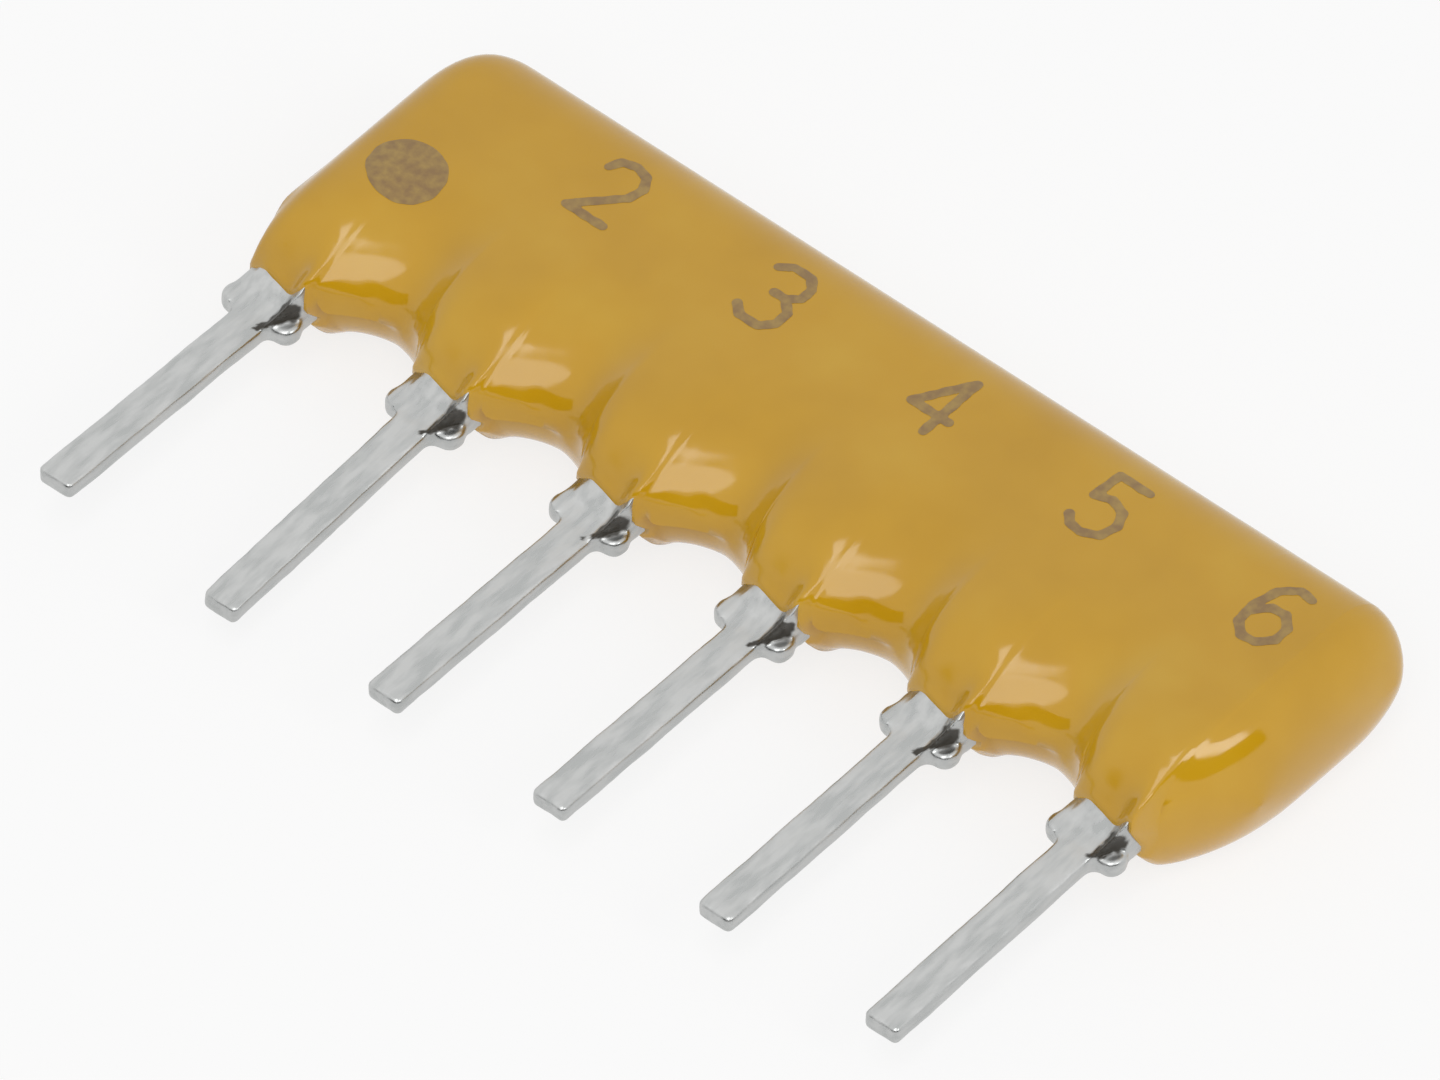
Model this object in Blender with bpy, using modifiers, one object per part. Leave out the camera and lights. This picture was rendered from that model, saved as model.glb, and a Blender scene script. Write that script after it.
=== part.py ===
# Six-lead single-in-line resistor network with a dipped coat, lying on its back.
# +X runs along the lead row from lead 1, +Y runs up the body from the lead tips, +Z is the marked face.
# The origin is the middle of the whole part's footprint, on the surface that it lies on.
import math

import bmesh
import bpy

MM = 0.001
WELD = 1e-4 * MM

# Lead row
LEAD_COUNT = 6
LEAD_PITCH = 2.54 * MM

# Lead strip: stem and shoulder, measured up and down from the seating line at the shoulder's foot
STRIP_THICKNESS = 0.254 * MM
STEM_WIDTH = 0.508 * MM
STEM_LENGTH = 3.48 * MM
STEM_FILLET = 0.10 * MM
STEM_DROOP_DEG = (-1.3, 4.3, -0.4, -0.3, 0.8, 1.7)
SHOULDER_SEAT = 0.036 * MM
SHOULDER_CORNER = 0.17 * MM
SHOULDER_SIDE = 0.07 * MM
CLIP_INSET = 0.06 * MM
CLIP_TAPER = 0.12 * MM
EDGE_ROUND = 0.05 * MM

# Clip fingers: the middle one passes in front of the substrate, the outer two behind it.
# They are coined a little thinner and narrower than the strip that they grow from.
FINGER_COINING = 0.004 * MM
FINGER_BEND_RADIUS = 0.25 * MM
FRONT_FINGER_WIDTH = 0.40 * MM
FRONT_FINGER_TIP = 2.35 * MM
FRONT_BEND_CLEARANCE = 0.035 * MM
FRONT_BEND_DEG = 35.0
BACK_FINGER_TIP = 2.15 * MM
BACK_BEND_CLEARANCE = 0.136 * MM
BACK_BEND_DEG = 40.0
FINGER_SLOT = 0.05 * MM
TIP_FLARE = 0.05 * MM
TIP_FLARE_LENGTH = 0.25 * MM
BEND_STEPS = 3

# Substrate plate
SUBSTRATE_THICKNESS = 0.635 * MM
SUBSTRATE_FOOT_COVER = 0.28 * MM
SUBSTRATE_SPARE = 0.085 * MM
SUBSTRATE_CHAMFER = 0.04 * MM
STRIP_SETBACK = 0.14 * MM

# Printed films
CONDUCTOR_THICKNESS = 0.012 * MM
RESISTOR_THICKNESS = 0.012 * MM
GLAZE_THICKNESS = 0.015 * MM
PAD_WIDTH = 0.80 * MM
PAD_FOOT_MARGIN = 0.15 * MM
PAD_SIDE_MARGIN = 0.02 * MM
BUS_WIDTH = 0.30 * MM
BUS_MARGIN = 0.30 * MM
RESISTOR_WIDTH = 0.95 * MM
RESISTOR_LAP = 0.20 * MM
TRIM_KERF = 0.06 * MM
TRIM_SHORTEST = 0.30 * MM
TRIM_STEP = 0.06 * MM
GLAZE_MARGIN = 0.15 * MM

# Solder joint: thin on the left of the clip, gathered on its right
SOLDER_INSET = 0.01 * MM
SOLDER_SKIN = 0.03 * MM
SOLDER_OVER_TIP = 0.20 * MM
SOLDER_LEAN = 0.34 * MM
FAN_FOOT = -0.12 * MM
FAN_EDGE = 0.30 * MM
LOBE_FOOT = 0.06 * MM
POCKET_FOOT = 0.27 * MM
POCKET_DEPTH = 0.10 * MM
POCKET_STEPS = 4
SOLDER_SHARES = (0.0, 0.3, 0.6, 0.85, 1.0)

# Dipped coat: its outline follows the lead row, its edges are rounded over
COAT_THICKNESS = 2.10 * MM
COAT_TOP = 4.83 * MM
COAT_LEFT_CORNER = 0.94 * MM
COAT_RIGHT_CORNER = 0.65 * MM
COAT_NECK = 0.56 * MM
COAT_NECK_INSET = 0.025 * MM
COAT_DRAPE_FOOT = 0.36 * MM
COAT_DRAPE_MARGIN = 0.025 * MM
COAT_DRAPE_FADE = 0.09 * MM
COAT_FILM = 0.06 * MM
COAT_SCALLOP = 0.97 * MM
COAT_SCALLOP_POWER = 1.6
COAT_END_RISE = 1.88 * MM
COAT_END_POWER = 1.15
COAT_TOP_ROUND = 0.95 * MM
COAT_FOOT_ROUND = 1.20 * MM
COAT_END_ROUND = 0.67 * MM
COAT_ROUND_POWER = 2.2
COAT_FRONT_FOOT_POWER = 3.0
COAT_BACK_FOOT_POWER = 2.1
COAT_VALLEY = 0.22 * MM
COAT_SMOOTH_LOW = 1.2 * MM
COAT_SMOOTH_HIGH = 2.4 * MM
COAT_LEFT_COVER = 0.20 * MM
COAT_RIGHT_COVER = 0.50 * MM
COAT_TOP_COVER = 0.43 * MM
COAT_ROWS = 16
COAT_ROW_SPREAD = 1.7
COAT_END_STEPS = 9
COAT_CLIP_SHARES = (0.0, 0.7, 1.0)
COAT_FADE_SHARES = (0.5, 1.0)
COAT_ARCH_SHARES = (0.25, 0.6, 1.0)

# Clearances between pieces that meet
GRIP_GAP = 0.020 * MM
FILM_GAP = 0.002 * MM
SOLDER_GAP = 0.004 * MM
MOUTH_GAP = 0.010 * MM
CAVITY_GAP = 0.015 * MM
GLAZE_GAP = 0.030 * MM

# Places worked out from the sizes above, in the lead row's frame: x from the row's middle,
# y from the seating line, z from the middle of the lead strip
ROW_HALF = LEAD_PITCH * (LEAD_COUNT - 1) / 2
LEAD_XS = [LEAD_PITCH * number - ROW_HALF for number in range(LEAD_COUNT)]
SHOULDER_HALF = STEM_WIDTH / 2 + STEM_FILLET + SHOULDER_SEAT + SHOULDER_CORNER
SHOULDER_HEIGHT = SHOULDER_CORNER + SHOULDER_SIDE
CLIP_HALF = SHOULDER_HALF - CLIP_INSET
SOLDER_HALF = CLIP_HALF - SOLDER_INSET
SOLDER_TOP = FRONT_FINGER_TIP + SOLDER_OVER_TIP
NECK_HALF = CLIP_HALF - COAT_NECK_INSET
DRAPE_HALF = CLIP_HALF + COAT_DRAPE_MARGIN
DRAPE_END = DRAPE_HALF + COAT_DRAPE_FADE
SUBSTRATE_LEFT = -ROW_HALF - PAD_WIDTH / 2 - PAD_SIDE_MARGIN
SUBSTRATE_RIGHT = ROW_HALF + RESISTOR_WIDTH / 2 + GLAZE_MARGIN + SUBSTRATE_SPARE
SUBSTRATE_BOTTOM = COAT_SCALLOP + SUBSTRATE_FOOT_COVER
SUBSTRATE_TOP = COAT_TOP - COAT_TOP_COVER
SUBSTRATE_FRONT = STRIP_SETBACK + SUBSTRATE_THICKNESS / 2
SUBSTRATE_BACK = STRIP_SETBACK - SUBSTRATE_THICKNESS / 2
COAT_LEFT = SUBSTRATE_LEFT - COAT_LEFT_COVER
COAT_RIGHT = SUBSTRATE_RIGHT + COAT_RIGHT_COVER
FINGER_HALF_THICKNESS = STRIP_THICKNESS / 2 - FINGER_COINING
FRONT_RISE = SUBSTRATE_FRONT + GRIP_GAP + FINGER_HALF_THICKNESS
BACK_RISE = SUBSTRATE_BACK - GRIP_GAP - FINGER_HALF_THICKNESS
STRIP_HEIGHT = COAT_THICKNESS / 2 - STRIP_SETBACK
BACK_FINGER_INNER = FRONT_FINGER_WIDTH / 2 + FINGER_SLOT
BACK_FINGER_OUTER = CLIP_HALF - FINGER_COINING
PAD_BOTTOM = SUBSTRATE_BOTTOM + PAD_FOOT_MARGIN
PAD_TOP = SOLDER_TOP + GLAZE_GAP + GLAZE_MARGIN + RESISTOR_LAP
BUS_TOP = SUBSTRATE_TOP - BUS_MARGIN
BUS_BOTTOM = BUS_TOP - BUS_WIDTH
FILM_BASE = SUBSTRATE_FRONT + FILM_GAP
CONDUCTOR_FRONT = FILM_BASE + CONDUCTOR_THICKNESS
RESISTOR_FRONT = CONDUCTOR_FRONT + FILM_GAP + RESISTOR_THICKNESS
GLAZE_FRONT = RESISTOR_FRONT + FILM_GAP + GLAZE_THICKNESS


def clear_scene():
    for item in list(bpy.data.objects):
        bpy.data.objects.remove(item, do_unlink=True)


def new_collection(name, parent, hidden=False):
    collection = bpy.data.collections.new(name)
    collection.hide_render = hidden
    parent.children.link(collection)
    return collection


def new_material(name, color, roughness, metallic):
    material = bpy.data.materials.new(name)
    material.use_nodes = True
    shader = material.node_tree.nodes["Principled BSDF"]
    shader.inputs["Base Color"].default_value = (*color, 1.0)
    shader.inputs["Roughness"].default_value = roughness
    shader.inputs["Metallic"].default_value = metallic
    return material


def add_object(name, data, collection, parent=None, location=(0, 0, 0)):
    item = bpy.data.objects.new(name, data)
    collection.objects.link(item)
    item.parent = parent
    item.location = location
    return item


def add_cutter(name, mesh, cutters, parent=None, location=(0, 0, 0)):
    item = add_object(name, mesh, cutters, parent, location)
    item.hide_render = True
    item.display_type = "WIRE"
    return item


def add_boolean(item, operation, meshes, cutters, parent=None, location=(0, 0, 0)):
    """Joins or cuts with all the meshes in one step, so that no piece is rounded between two steps."""
    tools = new_collection(item.name + "_tools", cutters, hidden=True)
    for mesh in meshes:
        add_cutter(mesh.name, mesh, tools, parent, location)
    boolean = item.modifiers.new(tools.name, "BOOLEAN")
    boolean.operation = operation
    boolean.solver = "EXACT"
    boolean.operand_type = "COLLECTION"
    boolean.collection = tools


def evaluated_mesh(item):
    bpy.context.view_layer.update()
    graph = bpy.context.evaluated_depsgraph_get()
    mesh = bpy.data.meshes.new_from_object(item.evaluated_get(graph))
    mesh.name = item.name
    return mesh


def weld(shape):
    bmesh.ops.remove_doubles(shape, verts=shape.verts, dist=WELD)
    bmesh.ops.recalc_face_normals(shape, faces=shape.faces)


def finish(item, material, smooth_deg=None):
    item.data.materials.clear()
    item.data.materials.append(material)
    if smooth_deg is not None:
        item.data.shade_smooth()
        item.data.set_sharp_from_angle(angle=math.radians(smooth_deg))


def box_mesh(name, low, high):
    """A closed box between two corners."""
    shape = bmesh.new()
    bmesh.ops.create_cube(shape, size=1.0)
    for vert in shape.verts:
        vert.co = [(a + b) / 2 + (b - a) * part for a, b, part in zip(low, high, vert.co)]
    mesh = bpy.data.meshes.new(name)
    shape.to_mesh(mesh)
    shape.free()
    return mesh


def outline_mesh(name, points, depth, edge_round=0.0):
    """A flat closed outline in X and Y, extruded to a depth about Z, with its long edges rounded."""
    curve = bpy.data.curves.new(name, "CURVE")
    curve.dimensions = "2D"
    curve.fill_mode = "BOTH"
    curve.extrude = depth / 2 - edge_round
    curve.bevel_depth = edge_round
    curve.bevel_resolution = 1
    curve.offset = -edge_round
    spline = curve.splines.new("POLY")
    spline.points.add(len(points) - 1)
    for point, (x, y) in zip(spline.points, points):
        point.co = (x, y, 0, 1)
    spline.use_cyclic_u = True
    guide = bpy.data.objects.new(name, curve)
    bpy.context.scene.collection.objects.link(guide)
    mesh = evaluated_mesh(guide)
    shape = bmesh.new()
    shape.from_mesh(mesh)
    weld(shape)
    shape.to_mesh(mesh)
    shape.free()
    bpy.data.objects.remove(guide)
    bpy.data.curves.remove(curve)
    return mesh


def profile_mesh(name, points, low_x, high_x):
    """A closed profile in Y and Z, extruded along X between two places."""
    mesh = outline_mesh(name, points, high_x - low_x)
    for vert in mesh.vertices:
        y, z, x = vert.co
        vert.co = (x + (low_x + high_x) / 2, y, z)
    return mesh


def loft_mesh(name, rings, capped=True):
    """Rings of equal counts joined along their order. Rings at the ends that are flat slits need no caps."""
    shape = bmesh.new()
    rows = [[shape.verts.new(point) for point in ring] for ring in rings]
    for near, far in zip(rows, rows[1:]):
        for index in range(len(near)):
            after = (index + 1) % len(near)
            shape.faces.new((near[index], near[after], far[after], far[index]))
    if capped:
        shape.faces.new(rows[0])
        shape.faces.new(list(reversed(rows[-1])))
    weld(shape)
    mesh = bpy.data.meshes.new(name)
    shape.to_mesh(mesh)
    shape.free()
    return mesh


def arc(center, radius, start_deg, end_deg, steps):
    angles = [math.radians(start_deg + (end_deg - start_deg) * step / steps) for step in range(steps + 1)]
    return [(center[0] + radius * math.cos(a), center[1] + radius * math.sin(a)) for a in angles]


def mixed(low, high, share):
    return low + (high - low) * share


def share_between(value, low, high):
    return min(max((value - low) / (high - low), 0.0), 1.0)


def eased(share):
    return share * share * (3 - 2 * share)


def round_over(distance, width, power):
    """How far a rounded edge has risen, from 0 at the outline to 1 at its width inside."""
    share = min(max(distance / width, 0.0), 1.0)
    return (1 - (1 - share) ** power) ** (1 / power)


# Lead: a strip with a shoulder, and three fingers that grip the substrate

def finger_path(end, rise, bend_deg, tip):
    """Middle line (y, z) of a finger that leaves the strip's plane by a double bend with a set end."""
    side = math.copysign(1.0, rise)
    bend = math.radians(bend_deg)
    radius = FINGER_BEND_RADIUS
    slope = (abs(rise) - 2 * radius * (1 - math.cos(bend))) / math.sin(bend)
    start = end - 2 * radius * math.sin(bend) - slope * math.cos(bend)
    turns = [bend * step / BEND_STEPS for step in range(BEND_STEPS + 1)]
    path = [(start + radius * math.sin(turn), side * radius * (1 - math.cos(turn))) for turn in turns]
    for turn in reversed(turns):
        path.append((end - radius * math.sin(turn), rise - side * radius * (1 - math.cos(turn))))
    path.append((tip - TIP_FLARE_LENGTH, rise))
    path.append((tip, rise + side * TIP_FLARE))
    return path


def front_path():
    return finger_path(SUBSTRATE_BOTTOM - FRONT_BEND_CLEARANCE, FRONT_RISE, FRONT_BEND_DEG, FRONT_FINGER_TIP)


def back_path():
    return finger_path(SUBSTRATE_BOTTOM - BACK_BEND_CLEARANCE, BACK_RISE, BACK_BEND_DEG, BACK_FINGER_TIP)


def offset_path(path, distance):
    """The path moved sideways, towards +Z where the distance is positive."""
    moved = []
    for index, (y, z) in enumerate(path):
        before = path[max(index - 1, 0)]
        after = path[min(index + 1, len(path) - 1)]
        run, rise = after[0] - before[0], after[1] - before[1]
        length = math.hypot(run, rise)
        moved.append((y - distance * rise / length, z + distance * run / length))
    return moved


def height_at(path, y):
    """Height of a path in Y and Z at a place along Y, level beyond its ends."""
    for (y0, z0), (y1, z1) in zip(path, path[1:]):
        if y <= y1:
            return mixed(z0, z1, share_between(y, y0, y1))
    return path[-1][1]


def strip_top():
    """Where the strip between the fingers ends, just before the outer fingers bend."""
    return back_path()[0][0] - EDGE_ROUND


def finger_mesh(name, path, low, high, grow):
    """A bent strip along the path, between two places in X."""
    root = (path[0][0] - STRIP_THICKNESS / 2, path[0][1])
    path = [root] + path[:-1] + [(path[-1][0] + grow, path[-1][1])]
    half = FINGER_HALF_THICKNESS + grow
    low, high = low - grow, high + grow
    rings = []
    for (near_y, near_z), (far_y, far_z) in zip(offset_path(path, half), offset_path(path, -half)):
        near = [(low, near_y, near_z), (high, near_y, near_z)]
        rings.append(near + [(high, far_y, far_z), (low, far_y, far_z)])
    return loft_mesh(name, rings)


def finger_meshes(name, grow):
    half, inner, outer = FRONT_FINGER_WIDTH / 2, BACK_FINGER_INNER, BACK_FINGER_OUTER
    return [
        finger_mesh(name + "_front", front_path(), -half, half, grow),
        finger_mesh(name + "_left", back_path(), -outer, -inner, grow),
        finger_mesh(name + "_right", back_path(), inner, outer, grow),
    ]


def strip_outline():
    """Half outline of stem and shoulder on the +X side, from the tip up, mirrored to the other side."""
    stem, shoulder = STEM_WIDTH / 2, SHOULDER_HALF
    slot = BACK_FINGER_INNER - FINGER_COINING
    slot_foot = front_path()[0][0] + FINGER_SLOT
    half = [(stem - EDGE_ROUND, -STEM_LENGTH), (stem, -STEM_LENGTH + EDGE_ROUND)]
    half += arc((stem + STEM_FILLET, -STEM_FILLET), STEM_FILLET, 180, 90, 3)
    half += arc((shoulder - SHOULDER_CORNER, SHOULDER_CORNER), SHOULDER_CORNER, -90, 0, 4)
    half += [(shoulder, SHOULDER_HEIGHT), (CLIP_HALF, SHOULDER_HEIGHT + CLIP_TAPER)]
    half += [(CLIP_HALF, strip_top()), (slot, strip_top()), (slot, slot_foot)]
    return half + [(-x, y) for x, y in reversed(half)]


def bend_stem(mesh, droop_deg):
    """Turns the stem about the end of its fillet, so that its tip drops towards the back."""
    turn = math.radians(droop_deg)
    for vert in mesh.vertices:
        reach = vert.co.y + STEM_FILLET
        if reach < 0:
            height = vert.co.z
            vert.co.y = -STEM_FILLET + reach * math.cos(turn) + height * math.sin(turn)
            vert.co.z = height * math.cos(turn) + reach * math.sin(turn)


def lead_mesh(name, droop_deg, cutters):
    strip = outline_mesh(name, strip_outline(), STRIP_THICKNESS, EDGE_ROUND)
    bend_stem(strip, droop_deg)
    blank = add_cutter(name + "_blank", strip, cutters)
    add_boolean(blank, "UNION", finger_meshes(name, 0.0), cutters)
    return evaluated_mesh(blank)


def build_leads(parts, cutters, frame, material):
    for index, x in enumerate(LEAD_XS):
        name = f"lead_{index + 1}"
        droop = STEM_DROOP_DEG[index % len(STEM_DROOP_DEG)]
        lead = add_object(name, lead_mesh(name, droop, cutters), parts, frame, (x, 0, 0))
        finish(lead, material, 40)


# Solder: a fan over the front finger that rises towards the right, above a hollow beside the stem

def solder_sides(x):
    """How far a place across the clip lies from the stem's edge towards the clip's left and right edges."""
    stem = STEM_WIDTH / 2 - EDGE_ROUND
    return eased(share_between(-x, stem, SOLDER_HALF)), eased(share_between(x, stem, SOLDER_HALF))


def solder_front(x, y):
    """Height of the solder's front face over the clip."""
    left, right = solder_sides(x)
    skin = mixed(-SOLDER_SKIN, SOLDER_SKIN, share_between(y, FAN_FOOT, LOBE_FOOT))
    face = height_at(offset_path(front_path(), FINGER_HALF_THICKNESS), y)
    lobe = mixed(face, STRIP_THICKNESS / 2, left * (1 - eased(share_between(y, COAT_NECK, SUBSTRATE_BOTTOM))))
    return lobe + skin + SOLDER_LEAN * right * (1 - eased(share_between(y, COAT_NECK, SUBSTRATE_BOTTOM)))


def solder_ring(x):
    """Section of the solder at x: hollow face, front face, top, and the fill down to the back."""
    left, right = solder_sides(x)
    foot = mixed(mixed(FAN_FOOT, FAN_EDGE, right), LOBE_FOOT, left)
    hollow = mixed(mixed(FAN_FOOT, POCKET_FOOT, right), LOBE_FOOT, left)
    base = STRIP_THICKNESS / 2 - EDGE_ROUND
    lip = max(solder_front(x, foot), base + EDGE_ROUND / 2)
    ring = []
    for step in range(POCKET_STEPS):
        share = step / POCKET_STEPS
        depth = POCKET_DEPTH * right * math.sin(math.pi * share) * (1 - share / 2)
        ring.append((x, mixed(hollow, foot, share) + depth, mixed(base, lip, share)))
    ring.append((x, foot, lip))
    last = FRONT_FINGER_TIP - TIP_FLARE_LENGTH
    corners = [y for y, _ in offset_path(front_path(), FINGER_HALF_THICKNESS)[1:-2]]
    for y in sorted([COAT_NECK, SUBSTRATE_BOTTOM, *corners]):
        y = max(y, foot)
        ring.append((x, y, solder_front(x, y)))
    ring.append((x, last, solder_front(x, last)))
    ring.append((x, SOLDER_TOP, mixed(SUBSTRATE_FRONT, solder_front(x, last), 0.5)))
    ring.append((x, SOLDER_TOP, SUBSTRATE_BACK))
    ring.append((x, strip_top() + STRIP_THICKNESS, SUBSTRATE_BACK))
    ring.append((x, FAN_EDGE + POCKET_DEPTH + EDGE_ROUND, base))
    return ring


def solder_stations():
    stem = STEM_WIDTH / 2 - EDGE_ROUND
    xs = [0.0] + [mixed(stem, SOLDER_HALF, share) for share in SOLDER_SHARES]
    return [-x for x in reversed(xs[1:])] + xs


def solder_mesh(cutters):
    rings = [solder_ring(x) for x in solder_stations()]
    block = add_cutter("solder_block", loft_mesh("solder_block", rings), cutters)
    shapes = finger_meshes("solder_room", SOLDER_GAP)
    low = (-LEAD_PITCH, -STEM_LENGTH, -STRIP_THICKNESS)
    high = (LEAD_PITCH, strip_top() + SOLDER_GAP, STRIP_THICKNESS / 2 + SOLDER_GAP)
    shapes.append(box_mesh("solder_room_strip", low, high))
    low = (-LEAD_PITCH, SUBSTRATE_BOTTOM - SOLDER_GAP, SUBSTRATE_BACK - GRIP_GAP / 2)
    high = (LEAD_PITCH, SUBSTRATE_TOP, CONDUCTOR_FRONT + SOLDER_GAP)
    shapes.append(box_mesh("solder_room_substrate", low, high))
    add_boolean(block, "DIFFERENCE", shapes, cutters)
    return evaluated_mesh(block)


def build_solder(parts, cutters, frame, material):
    mesh = solder_mesh(cutters)
    for number, x in enumerate(LEAD_XS, start=1):
        joint = add_object(f"solder_{number}", mesh, parts, frame, (x, 0, 0))
        finish(joint, material, 40)


# Substrate and its printed films

def build_substrate(parts, frame, material):
    low = (SUBSTRATE_LEFT, SUBSTRATE_BOTTOM, SUBSTRATE_BACK)
    high = (SUBSTRATE_RIGHT, SUBSTRATE_TOP, SUBSTRATE_FRONT)
    plate = add_object("substrate", box_mesh("substrate", low, high), parts, frame)
    edges = plate.modifiers.new("broken_edges", "BEVEL")
    edges.width = SUBSTRATE_CHAMFER
    edges.segments = 1
    finish(plate, material)


def build_conductors(parts, frame, material):
    middle = (FILM_BASE + CONDUCTOR_FRONT) / 2
    half = PAD_WIDTH / 2
    first, last = LEAD_XS[0], LEAD_XS[-1]
    bus_end = last + RESISTOR_WIDTH / 2
    common = [
        (first - half, PAD_BOTTOM),
        (first + half, PAD_BOTTOM),
        (first + half, BUS_BOTTOM),
        (bus_end, BUS_BOTTOM),
        (bus_end, BUS_TOP),
        (first - half, BUS_TOP),
    ]
    pad = [(-half, PAD_BOTTOM), (half, PAD_BOTTOM), (half, PAD_TOP), (-half, PAD_TOP)]
    mesh = outline_mesh("common_conductor", common, CONDUCTOR_THICKNESS)
    finish(add_object("common_conductor", mesh, parts, frame, (0, 0, middle)), material)
    mesh = outline_mesh("pad", pad, CONDUCTOR_THICKNESS)
    for number, x in enumerate(LEAD_XS[1:], start=2):
        finish(add_object(f"pad_{number}", mesh, parts, frame, (x, 0, middle)), material)


def build_resistors(parts, cutters, frame, material):
    """Each film lies on the substrate between its pad and the common conductor, and laps onto both."""
    low, high = PAD_TOP, BUS_BOTTOM
    under, over = CONDUCTOR_FRONT + FILM_GAP, RESISTOR_FRONT
    step = CONDUCTOR_THICKNESS + FILM_GAP
    profile = [
        (low - RESISTOR_LAP, under),
        (low + FILM_GAP, under),
        (low + FILM_GAP, FILM_BASE),
        (high - FILM_GAP, FILM_BASE),
        (high - FILM_GAP, under),
        (high + RESISTOR_LAP, under),
        (high + RESISTOR_LAP, over),
        (high - step, over),
        (high - 2 * step, over - step),
        (low + 2 * step, over - step),
        (low + step, over),
        (low - RESISTOR_LAP, over),
    ]
    half = RESISTOR_WIDTH / 2
    for number, x in enumerate(LEAD_XS[1:], start=2):
        name = f"resistor_{number}"
        film = add_object(name, profile_mesh(name, profile, -half, half), parts, frame, (x, 0, 0))
        length = TRIM_SHORTEST + TRIM_STEP * (number * 3 % LEAD_COUNT)
        kerf_low = (-half - TRIM_KERF, (low + high - TRIM_KERF) / 2, SUBSTRATE_FRONT - STRIP_THICKNESS)
        kerf_high = (-half + length, (low + high + TRIM_KERF) / 2, GLAZE_FRONT + STRIP_THICKNESS)
        mesh = box_mesh(name + "_trim", kerf_low, kerf_high)
        add_boolean(film, "DIFFERENCE", [mesh], cutters, frame, (x, 0, 0))
        finish(film, material)


def build_glaze(parts, frame, material):
    low = (
        LEAD_XS[1] - RESISTOR_WIDTH / 2 - GLAZE_MARGIN,
        SOLDER_TOP + GLAZE_GAP,
        RESISTOR_FRONT + FILM_GAP,
    )
    high = (LEAD_XS[-1] + RESISTOR_WIDTH / 2 + GLAZE_MARGIN, BUS_TOP + GLAZE_MARGIN, GLAZE_FRONT)
    finish(add_object("overglaze", box_mesh("overglaze", low, high), parts, frame), material)


# Coat: lofted along the row, from its left end to its right end

def scallop(x):
    """Foot of the coat over the lead row: down on each lead, arched up between two leads."""
    away = min(abs(x - lead) for lead in LEAD_XS)
    rise = round_over(away - NECK_HALF, LEAD_PITCH / 2 - NECK_HALF, COAT_SCALLOP_POWER)
    return mixed(COAT_NECK, COAT_SCALLOP, rise)


def coat_foot(x):
    reach = ROW_HALF + NECK_HALF
    if abs(x) <= reach:
        return scallop(x)
    end = COAT_RIGHT if x > 0 else -COAT_LEFT
    return mixed(COAT_NECK, COAT_END_RISE, ((abs(x) - reach) / (end - reach)) ** COAT_END_POWER)


def coat_head(x):
    corner = COAT_RIGHT_CORNER if x > 0 else COAT_LEFT_CORNER
    inside = min(x - COAT_LEFT, COAT_RIGHT - x)
    share = 1 - min(max(inside, 0.0) / corner, 1.0)
    return COAT_TOP - corner * (1 - math.sqrt(1 - share * share))


def larger(first, second, blend):
    """The larger of two heights, with the crease rounded where they are closer than the blend."""
    near = max(blend - abs(first - second), 0.0)
    return max(first, second) + near * near / (4 * blend)


def coat_ring(x):
    """Section of the coat at x: from its foot up the front and back down the other side."""
    foot, head = coat_foot(x), coat_head(x)
    lead = min(LEAD_XS, key=lambda place: abs(x - place))
    away, across = abs(x - lead), x - lead
    inside = min(x - COAT_LEFT, COAT_RIGHT - x)
    drape = (1 - eased(share_between(away, DRAPE_HALF, DRAPE_END))) * share_between(inside, 0, COAT_FILM)
    lowest = mixed(COAT_NECK, COAT_DRAPE_FOOT, share_between(across, -DRAPE_HALF, DRAPE_HALF))
    front_foot = mixed(foot, lowest, drape)
    end = round_over(inside, COAT_END_ROUND, COAT_ROUND_POWER)
    between = eased(share_between(away, NECK_HALF / 2, LEAD_PITCH / 2))
    back_outer = offset_path(back_path(), -FINGER_HALF_THICKNESS - SOLDER_SKIN)

    def depth(y, foot_power):
        rise = round_over(y - foot, COAT_FOOT_ROUND, foot_power)
        return COAT_THICKNESS / 2 * rise * round_over(head - y, COAT_TOP_ROUND, COAT_ROUND_POWER) * end

    def relief(y):
        return 1 - eased(share_between(y, COAT_SMOOTH_LOW, COAT_SMOOTH_HIGH))

    def draped(y, low, plain, cover):
        film = cover + COAT_FILM * round_over(y - low, COAT_FILM, COAT_ROUND_POWER)
        return plain + drape * relief(y) * (larger(plain, film, 2 * COAT_FILM) - plain)

    front, back = [], []
    for row in range(COAT_ROWS):
        share = 1 - (1 - (row / (COAT_ROWS - 1)) ** COAT_ROW_SPREAD) ** COAT_ROW_SPREAD
        y = mixed(front_foot, head, share)
        plain = depth(y, COAT_FRONT_FOOT_POWER)
        plain *= 1 - between * relief(y) * COAT_VALLEY / (COAT_THICKNESS / 2)
        cover = solder_front(across, y) - STRIP_SETBACK
        front.append((x, y, STRIP_SETBACK + draped(y, front_foot, plain, cover)))
        y = mixed(foot, head, share)
        cover = STRIP_SETBACK - height_at(back_outer, y)
        plain = depth(y, COAT_BACK_FOOT_POWER)
        back.append((x, y, STRIP_SETBACK - draped(y, foot, plain, cover)))
    return front + list(reversed(back))


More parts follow.
